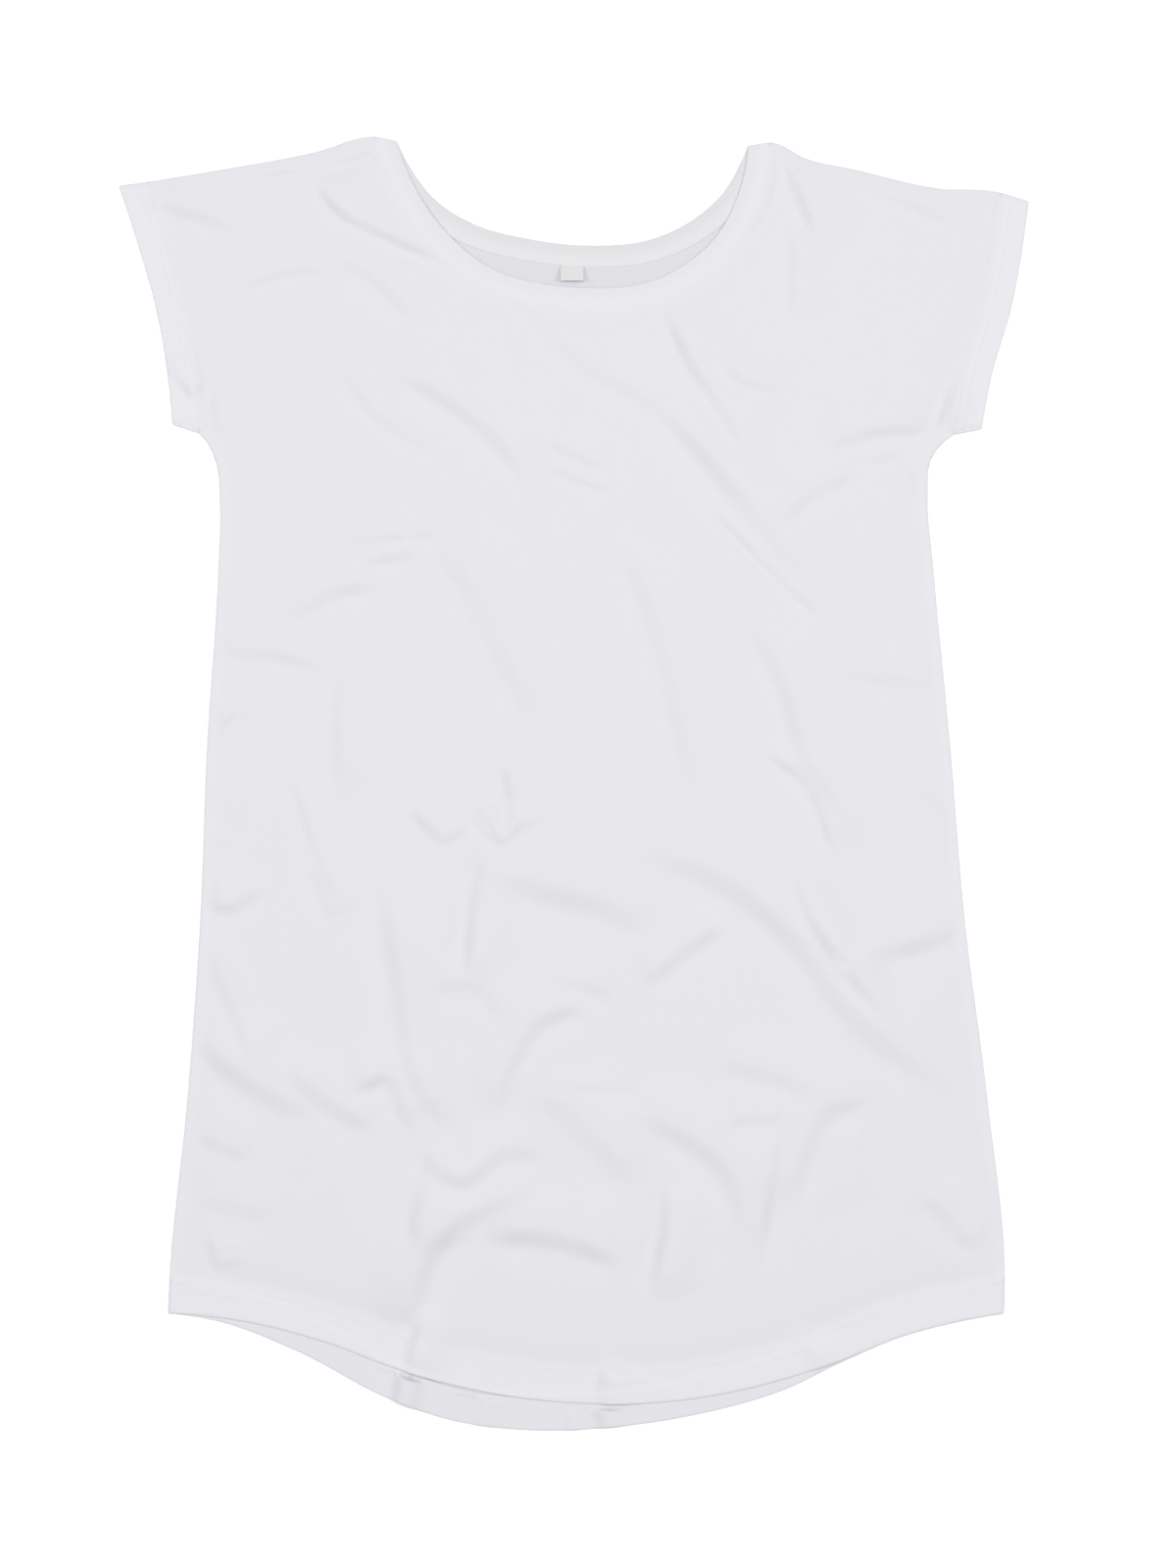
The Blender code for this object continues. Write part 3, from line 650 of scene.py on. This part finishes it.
def label_satin():
    """Ribs across the strip and finer ends along it."""
    material, tree, shader = new_material("white woven label satin",
                                          {"Roughness": 0.5, "Sheen Weight": 0.1})
    place = add_node(tree, "TexCoord").outputs["Object"]
    weave = [add_node(tree, "TexWave", {"bands_direction": direction},
                      {"Vector": place, "Scale": wave_scale(size)}).outputs[1]
             for direction, size in (("Y", RIB), ("X", RIB / 2))]
    both = add_node(tree, "Math", {"operation": "MULTIPLY_ADD"},
                    {0: weave[1], 1: 0.4, 2: weave[0]}).outputs[0]
    bump = add_node(tree, "Bump", None,
                    {"Strength": 0.4, "Distance": 0.05 * MM, "Height": both})
    tree.links.new(bump.outputs[0], shader.inputs["Normal"])
    base = linear(LABEL_COLOUR)
    # painted shade: a little darker between the ribs, where the weave's relief is low
    tone = add_node(tree, "Mix", {"data_type": "RGBA"},
                    {0: weave[0], 6: toned(base, 0.95), 7: base})
    tree.links.new(tone.outputs[2], shader.inputs["Base Color"])
    return material


def label_loop():
    """The strip's middle line, out along the back, round the bend and home above itself, with
    half a layer to each side of it, carried across the label's width."""
    seam = back_neck_seam[::-1]
    top = np.interp(LABEL_X, seam[:, 0], seam[:, 1]) + LABEL_CAUGHT
    along = np.linspace(0.0, 1.0, 12)
    rest = CLOTH + LABEL_CLEAR + LABEL_LAYER / 2 + LABEL_LIFT * along
    apart = LABEL_LAYER + LABEL_GAP
    bend = np.linspace(-np.pi / 2, np.pi / 2, 9)[1:-1]
    straight = LABEL_LENGTH - apart / 2 - LABEL_LAYER / 2
    line = np.column_stack([
        np.concatenate([along * straight, straight + apart / 2 * np.cos(bend),
                        along[::-1] * straight]),
        np.concatenate([rest, rest[-1] + apart / 2 * (1 + np.sin(bend)),
                        (rest + apart)[::-1]])])
    side = left_of(line) * LABEL_LAYER / 2
    profile = np.vstack([line - side, (line + side)[::-1]])
    across = np.linspace(-1.0, 1.0, 15)[:, None]
    curl = LABEL_SAG * across**2 * (profile[:, 0] / LABEL_LENGTH).clip(0.0)
    grid = np.dstack([LABEL_X + across * LABEL_WIDTH / 2 + 0 * profile[:, 0],
                      top - profile[:, 0] + 0 * across, profile[:, 1] + curl])
    return add_mesh("size_label_satin", grid.reshape(-1, 3), *tube_faces(*grid.shape[:2]))


label = label_loop()
label.data.materials.append(label_satin())
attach(label, "root")
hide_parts("size_label")


# ==== Front =================================================================================
# The front is cut as the back is, with a deeper neck and a shorter hem. It lies on the back
# with a little air under it, and holds nearly all the folds that carrying and laying down left.
AIR, CLEAR = 0.74, 0.06                     # air under the front by its edges, and in its bands
LOFT, LOFT_REACH = 1.0, 45.0                # more air inwards, and how far in it is full
CLIMB_REACH, SEAM_CALM = 22.0, 14.0         # seams hold folds down, and free edges less so
EDGE_CALM, EDGE_HELD = 14.0, 0.4
SOFT_STOP = 0.3                             # how softly a foot comes down on the cloth below
RISE_REACH = 5.5                            # how far past a band its turned layer lifts cloth
SEAM_RIDGE, SEAM_RIDGE_AT, SEAM_RIDGE_HALF = 0.30, 6.0, 2.6     # seam allowance felt through
FRONT_SEAM_DEEP, FRONT_SEAM_HALF = 0.22, 0.9
PUCKER, PUCKER_REACH = 0.07, 7.0            # height of the waves beside sewing, and their reach
FRONT_SPACING = 2.9
FOLDS = [
    # name             crest back flank route, and a far crest's height
    ("neck_left",       3.6, 42, 10, [(-188, 436), (-165, 406), (-133, 390), (-86, 369)]),
    ("chest_left",      3.0, 48, 14, [(-140, 297), (-91, 272), (-56, 244), (-30, 208)]),
    ("chest_long",      4.2, 42, 18, [(60, 272), (119, 200), (147, 168), (184, 127)], 1.2),
    ("chest_right",     3.4, 40, 12, [(62, 350), (82, 301), (110, 258), (127, 222)]),
    ("underarm_right",  3.0, 36, 12, [(178, 236), (220, 251), (258, 250)]),
    ("middle",          2.6, 48, 17, [(25, 185), (56, 115), (68, 70), (86, -22)]),
    ("left_middle",     2.6, 48, 19, [(-107, 182), (-77, 140), (-49, 84), (-24, 38)]),
    ("left_bar",        2.4, 30, 13, [(-206, 110), (-175, 134), (-132, 138)], 0.8),
    ("right_long",      3.0, 44, 15, [(110, 132), (150, 66), (162, 24), (191, -21), (210, -68)]),
    ("left_long",       3.6, 42, 17, [(-139, -62), (-126, -147), (-119, -196), (-80, -256)]),
    ("centre_drop",     3.6, 34, 13, [(-62, -36), (-72, -91), (-77, -148)], 0.9),
    ("centre_bar",      4.2, 44, 22, [(-66, -54), (-18, -80), (17, -88), (62, -114)]),
    ("sweep",           5.0, 50, 22, [(16, -54), (87, -63), (150, -106), (206, -175),
                                      (288, -227)]),
    ("sweep_twin",      3.4, 26, 12, [(153, -40), (168, -94), (192, -130), (230, -172)]),
    ("small_up",        2.8, 30, 14, [(50, -148), (75, -124), (113, -100)]),
    ("hook",            3.6, 36, 15, [(-51, -242), (-40, -196), (-25, -173), (16, -163)], 1.2),
    ("left_sweep",      4.0, 44, 19, [(-278, -176), (-235, -214), (-178, -240)]),
    ("left_sweep_twin", 2.8, 34, 16, [(-208, -198), (-175, -230), (-139, -248)]),
    ("wave",            3.8, 28, 16, [(-110, -258), (-77, -283), (-53, -267), (-18, -268)], 1.4),
    ("bow",             4.8, 42, 19, [(-109, -396), (-102, -340), (-77, -312), (-22, -292)]),
    ("brow",            4.4, 40, 18, [(-70, -326), (-18, -326), (36, -346)]),
    ("lower_middle",    3.0, 36, 22, [(-30, -218), (10, -253), (48, -294)]),
    ("lower_arc",       3.6, 40, 18, [(28, -239), (73, -251), (103, -274), (119, -324)]),
    ("lower_drop",      4.4, 34, 13, [(65, -280), (63, -326), (51, -369)], 0.9),
    ("lower_bar",       2.4, 34, 16, [(98, -197), (140, -211), (180, -220)]),
    ("crook",           3.2, 34, 18, [(156, -310), (168, -259), (184, -234), (218, -230)], 1.4),
    ("right_edge_bar",  3.2, 36, 16, [(198, -125), (238, -118), (284, -100)]),
    ("corner_right",    2.2, 34, 15, [(244, -289), (269, -315), (290, -337)]),
    ("shoulder_right",  3.4, 34, 12, [(147, 453), (163, 413), (178, 374)]),
    ("shoulder_tip",    2.6, 22, 14, [(184, 433), (224, 421), (282, 391)]),
    ("sleeve_left",     2.8, 22, 13, [(-312, 412), (-277, 407), (-238, 393)]),
]
# fainter creases, which `run_on` makes longer at both ends
CREASES = [
    # name            crest back flank route
    ("shoulder_crease", 1.5, 22,  9, [(-231, 357), (-200, 365), (-175, 366)]),
    ("under_shoulder",  2.0, 30, 13, [(-175, 377), (-140, 357), (-119, 336)]),
    ("chest_twin",      1.2, 26, 10, [(-163, 290), (-140, 262), (-102, 238)]),
    ("chest_lead",      1.6, 30, 13, [(-28, 332), (7, 298), (52, 272), (89, 238)]),
    ("chest_long_twin", 2.3, 22,  8, [(105, 189), (133, 160), (168, 126)]),
    ("neck_small",      2.2, 26, 10, [(105, 304), (119, 288), (140, 281)]),
    ("breast_high",     1.9, 26, 10, [(-14, 241), (17, 227)]),
    ("breast_low",      1.3, 22,  8, [(-12, 223), (22, 210)]),
    ("armhole_right",   4.0, 26, 10, [(268, 280), (259, 252), (247, 231)]),
    ("armpit_low",      2.0, 30, 12, [(154, 192), (178, 211), (192, 217)]),
    ("armpit_high",     1.0, 22,  9, [(196, 231), (224, 234), (234, 241)]),
    ("armpit_drop",     1.4, 22,  9, [(238, 231), (247, 203)]),
    ("left_lead",       1.6, 22,  8, [(-152, 173), (-130, 176), (-102, 178)]),
    ("left_lead_low",   1.8, 26, 10, [(-145, 159), (-116, 164)]),
    ("left_edge_bar",   1.7, 26, 11, [(-250, 94), (-217, 92), (-189, 85)]),
    ("left_edge_hook",  1.8, 22,  9, [(-258, 31), (-250, 41), (-242, 50)]),
    ("left_plumb",      1.8, 30, 12, [(-168, 70), (-168, 4)]),
    ("right_twin",      2.8, 26, 10, [(147, 15), (161, 4), (173, -14), (182, -38)]),
    ("left_drop_high",  1.4, 22,  9, [(-196, -10), (-187, -42), (-170, -80)]),
    ("left_drop_low",   1.6, 26, 10, [(-186, -63), (-175, -91)]),
    ("knot_high",       2.8, 26, 11, [(-49, 7), (-46, -14), (-47, -28)]),
    ("knot_low",        3.5, 22,  9, [(-67, -22), (-54, -42)]),
    ("knot_left",       2.2, 26, 11, [(-112, -24), (-91, -40), (-81, -35)]),
    ("centre_tail",     1.8, 30, 14, [(-95, -144), (-63, -150), (-56, -161)]),
    ("centre_small",    1.9, 30, 12, [(-14, -139), (14, -147), (21, -150)]),
    ("left_low_drop",   1.8, 30, 12, [(-261, -126), (-245, -158), (-233, -189)]),
    ("left_edge_low",   2.6, 30, 12, [(-261, -88), (-245, -89), (-226, -78)]),
    ("elbow",           3.2, 30, 13, [(-151, -216), (-135, -211), (-121, -238)]),
    ("bow_root",        2.3, 30, 13, [(-104, -270), (-112, -304), (-114, -322)]),
    ("flat_bar",        0.9, 22,  9, [(-7, -214), (38, -218)]),
    ("right_small",     2.6, 30, 14, [(115, -241), (143, -239)]),
    ("crook_twin",      2.4, 30, 12, [(135, -326), (140, -294), (147, -245)]),
    ("right_waist",     1.3, 30, 13, [(198, 77), (241, 72), (262, 72)]),
    ("right_dent",      1.1, 26, 10, [(248, -4), (264, -21)]),
    ("shoulder_seam",   2.0, 22,  8, [(-217, 435), (-168, 444), (-144, 451)]),
    ("shoulder_short",  3.4, 22,  8, [(159, 451), (171, 434)]),
    ("collar_drop",     1.6, 22,  8, [(129, 396), (140, 416), (147, 444)]),
    ("collar_plumb",    2.1, 30, 12, [(156, 392), (156, 343)]),
    ("cuff_left_high",  3.2, 26, 10, [(-291, 297), (-275, 278)]),
    ("cuff_left_low",   1.0, 22,  8, [(-258, 275), (-257, 253)]),
    ("low_left_high",   1.6, 30, 12, [(-263, -255), (-238, -265)]),
    ("low_left_mid",    1.2, 30, 14, [(-259, -300), (-221, -308)]),
    ("low_left_low",    1.9, 26, 10, [(-259, -326), (-257, -343)]),
    ("hem_left",        4.8, 30, 13, [(-109, -382), (-116, -399), (-119, -413), (-123, -432)]),
    ("hem_middle",      4.8, 30, 16, [(19, -420), (19, -441), (20, -456)]),
    ("hem_right",       2.4, 30, 13, [(164, -402), (170, -416), (175, -428)]),
]

front_outline = whole_outline(front_edges)
front_neck_seam = inset(front_edges, "neck_band", BAND_DEPTHS["neck_band"])


def ripple(points):
    """Broad unevenness of cloth smoothed by hand: three slanted waves that wander, of 0.12,
    0.09 and 0.05 mm."""
    x, y = points.T
    return (0.12 * np.sin(x / 31 + 1.6 * np.sin(y / 96)) * np.cos(y / 74 + 0.7)
            + 0.09 * np.sin((x + y) / 43 + 1.2 * np.sin(x / 85))
            + 0.05 * np.sin(x / 13.5 + 2.1 * np.sin(y / 51)))


def pucker(points):
    """Small slanted waves that sewing draws up beside its rows."""
    x, y = points.T
    return PUCKER * np.sin((x + 1.3 * y) / 2.9 + 1.5 * np.sin((x - y) / 23))


def past_bands(points, edges):
    """Distances to a panel's four bands, less than 0 on them."""
    return np.array([distance(points, edges[name]) - depth for name, depth in BAND_DEPTHS.items()])


def front_lie(points):
    """Height of the front's outer face: the cloth under it, its own, and air, folds and
    unevenness, which never take it below the cloth that it lies on."""
    from_edge = distance(points, front_outline)
    past = past_bands(points, front_edges)
    climb = smoothstep(1.0 - past / CLIMB_REACH).max(axis=0)
    sewn = np.exp(-((past + NEEDLE_ROWS[1] / 2) / PUCKER_REACH)**2).max(axis=0)
    own, below = [CLOTH + (HEM_CLOTH - CLOTH) * smoothstep(1.0 - away / RISE_REACH).max(axis=0)
                  for away in (past, past_bands(points, back_edges))]
    resting = back_faces(points, below)[0] + CLEAR + own
    folds = (folds_height(points, FOLDS) + creases_height(points, CREASES) + ripple(points)
             + sewn * pucker(points))
    held = smoothstep(from_seams(points) / SEAM_CALM) * (
        1.0 - EDGE_HELD * (1.0 - smoothstep(from_edge / EDGE_CALM)))
    above = (AIR + LOFT * smoothstep(from_edge / LOFT_REACH)) * (1.0 - climb) + folds * held
    return resting + (above + np.hypot(above, SOFT_STOP)) / 2


def front_faces(points, thickness):
    """Upper and under face of the front. Its sewn lines are sunk into the upper one alone."""
    rolled = roll(points)
    from_ridge = from_seams(points) - SEAM_RIDGE_AT
    lie = front_lie(points) + SEAM_RIDGE * np.exp(-(from_ridge / SEAM_RIDGE_HALF)**2)
    lines = (sunk(points, front_neck_seam, FRONT_SEAM_DEEP, FRONT_SEAM_HALF)
             + needle_rows(points, front_edges))
    low, high = SEAM_HEIGHT + SEAM_GAP / 2, SEAM_HEIGHT + SEAM_GAP / 2 + SEAM_WALL
    return high + (lie - lines - high) * rolled, low + (lie - thickness - low) * rolled


closer = [(row[3], run_on(row[4])) for row in CREASES] + [row[3:5] for row in FOLDS]
front = panel_shell("front_panel_jersey", front_edges, FRONT_SPACING, front_faces, True, closer)
lay_panel(front, outer, "front_panel", front_edges)


# ==== Front hem, sleeve hems and neck band ==================================================
# Made as the back's are. They lie on the back's, and the folds run on into them. The edge of
# the hem bends down to the cloth that it lies on.
lay_bands("front", front_edges, front_faces, outer, outer, PRESSED_EDGE)


# ==== Twin-needle sewing ====================================================================
# Hem and sleeve hems are held by two rows of soft white polyester thread, sunk into the cloth.
# They run on the front and underneath on the back. Inside, where the back hem shows, a third
# thread zigzags between the rows.
STITCH, STITCH_PITCH = 2.6, 3.3
THREAD_RADIUS = 0.17
THREAD_LIFT, ZIGZAG_LIFT = 0.02, -0.12          # the front hem presses the zigzag in deeper
UNDER_LIFT = THREAD_RADIUS + 0.01               # underneath, threads stay off the surface
THREAD_COLOUR = "DEDEE3"


def thread_material():
    """Twisted fibre: fine slanting ridges, with a little more gloss than the cotton."""
    material, tree, shader = new_material("white twisted polyester thread",
                                          {"Roughness": 0.6, "Sheen Weight": 0.15})
    place = add_node(tree, "TexCoord").outputs["Object"]
    twist = add_node(tree, "TexWave", {"bands_direction": "DIAGONAL"},
                     {"Vector": place, "Scale": 300.0, "Distortion": 1.0}).outputs[1]
    bump = add_node(tree, "Bump", None,
                    {"Strength": 0.5, "Distance": 0.04 * MM, "Height": twist})
    tree.links.new(bump.outputs[0], shader.inputs["Normal"])
    base = linear(THREAD_COLOUR)
    # painted shade: a little darker in the grooves of the twist
    tone = add_node(tree, "Mix", {"data_type": "RGBA"},
                    {0: twist, 6: toned(base, 0.93), 7: base})
    tree.links.new(tone.outputs[2], shader.inputs["Base Color"])
    return material


def sew(name, starts, ends):
    """A spindle of thread from each start to each end, six-sided and closed at both tips."""
    along = np.array([0.0, 0.1, 0.3, 0.7, 0.9, 1.0])[:, None]
    swell = np.array([0.2, 0.75, 1.0, 1.0, 0.75, 0.2])
    turn = np.radians(np.arange(0, 360, 60))
    ahead = ends - starts
    ahead /= np.linalg.norm(ahead, axis=1)[:, None]
    side = np.cross(ahead, [0.0, 0.0, 1.0])
    side /= np.linalg.norm(side, axis=1)[:, None]
    up = np.cross(side, ahead)
    ring = (np.cos(turn)[:, None] * side[:, None] + np.sin(turn)[:, None] * up[:, None])
    middle = starts[:, None] + along * (ends - starts)[:, None]
    grid = middle[:, :, None] + THREAD_RADIUS * swell[:, None, None] * ring[:, None]
    first = len(along) * len(turn) * np.arange(len(grid))[:, None, None]
    blocks = [(first + block).reshape(-1, block.shape[1])
              for block in tube_faces(len(along), len(turn))]
    piece = add_mesh(name, grid.reshape(-1, 3), *blocks)
    piece.data.materials.append(thread)
    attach(piece, "root")


def needle_row(edges, name, row, faces_of, face, lift):
    """Starts and ends of one row's stitches, `lift` above the face they are sewn into."""
    line = inset(edges, name, BAND_DEPTHS[name] - row)
    at = np.arange(STITCH_PITCH, run_length(line) - STITCH_PITCH - STITCH, STITCH_PITCH)
    ends = [at_lengths(line, at), at_lengths(line, at + STITCH)]
    return [np.column_stack([spot, faces_of(spot, HEM_CLOTH)[face] + lift]) for spot in ends]


def sewn_rows(name, edges, faces_of, face, lift):
    """All twin-needle rows of one side, as one piece of thread."""
    rows = [needle_row(edges, edge, row, faces_of, face, lift)
            for edge in ("left_cuff", "hem", "right_cuff") for row in NEEDLE_ROWS]
    sew(name, *(np.vstack(ends) for ends in zip(*rows)))


thread = thread_material()
sewn_rows("front_needle_rows", front_edges, front_faces, 0, THREAD_LIFT)
sewn_rows("back_needle_rows", back_edges, back_band_faces, 1, UNDER_LIFT)

rows = [inset(back_edges, "hem", BAND_DEPTHS["hem"] - row) for row in NEEDLE_ROWS]
turns = round(run_length(rows[0]) / STITCH_PITCH)
is_zig = (np.arange(turns) % 2)[:, None] == 0
zigzag = np.where(is_zig, *(evenly(row, turns) for row in rows))
zigzag = np.column_stack([zigzag, back_band_faces(zigzag, HEM_CLOTH)[0] + ZIGZAG_LIFT])[1:-1]
sew("back_hem_zigzag", zigzag[:-1], zigzag[1:])


# ==== Floor, light and camera ===============================================================
# White studio paper, lit by a soft dome, by a broad lamp high above and a little past the neck,
# and by two equal weak ones at the sides. The camera looks straight down.
VIEW_X, VIEW_HEIGHT, VIEW_DISTANCE = 10.15, 1120.0, 3000.0
DOME = 0.412
LAMPS = [
    # name         watts size distance azimuth elevation
    ("high_lamp",   81.5, 2.0, 4.0,     75.0,   84.0),
    ("left_lamp",   35.0, 0.8, 4.5,    170.0,   50.0),
    ("right_lamp",  35.0, 0.8, 4.5,     10.0,   50.0),
]
FLOOR_HALF, FLOOR_BELOW = 4000.0, 0.3


def studio_paper():
    """Matt white paper with a barely uneven tone."""
    material, tree, shader = new_material("matt white studio paper", {"Roughness": 0.95})
    place = add_node(tree, "TexCoord").outputs["Object"]
    grain = add_node(tree, "TexNoise", None,
                     {"Vector": place, "Scale": 60.0, "Detail": 2.0}).outputs[0]
    tone = add_node(tree, "Mix", {"data_type": "RGBA"},
                    {0: grain, 6: linear("FBFBFB"), 7: linear("FDFDFD")})
    tree.links.new(tone.outputs[2], shader.inputs["Base Color"])
    return material


corners = FLOOR_HALF * np.array([(-1, -1), (1, -1), (1, 1), (-1, 1)])
floor = add_mesh("floor", np.column_stack([corners, np.full(4, -FLOOR_BELOW)]),
                 np.arange(4)[None])
floor.data.materials.append(studio_paper())

world = bpy.data.worlds.new("dome")
world.use_nodes = True
sky = world.node_tree.nodes["Background"].inputs
sky["Color"].default_value = (1.0, 1.0, 1.0, 1.0)
sky["Strength"].default_value = DOME
bpy.context.scene.world = world

for name, watts, size, away, azimuth, elevation in LAMPS:
    turn, rise = np.radians([azimuth, elevation])
    to_lamp = Vector((np.cos(turn) * np.cos(rise), np.sin(turn) * np.cos(rise), np.sin(rise)))
    lamp = bpy.data.lights.new(name, "AREA")
    lamp.size = size
    lamp.energy = watts
    holder = bpy.data.objects.new(name, lamp)
    holder.location = to_lamp * away
    holder.rotation_euler = to_lamp.to_track_quat("Z", "Y").to_euler()
    bpy.context.scene.collection.objects.link(holder)

camera = bpy.data.cameras.new("camera")
camera.sensor_fit = "VERTICAL"
camera.angle = 2 * np.arctan(VIEW_HEIGHT / 2 / VIEW_DISTANCE)
camera.clip_end = 20.0
camera_holder = bpy.data.objects.new("camera", camera)
camera_holder.location = (VIEW_X * MM, 0.0, VIEW_DISTANCE * MM)
bpy.context.scene.collection.objects.link(camera_holder)
bpy.context.scene.camera = camera_holder
bpy.context.scene.view_settings.view_transform = "Standard"
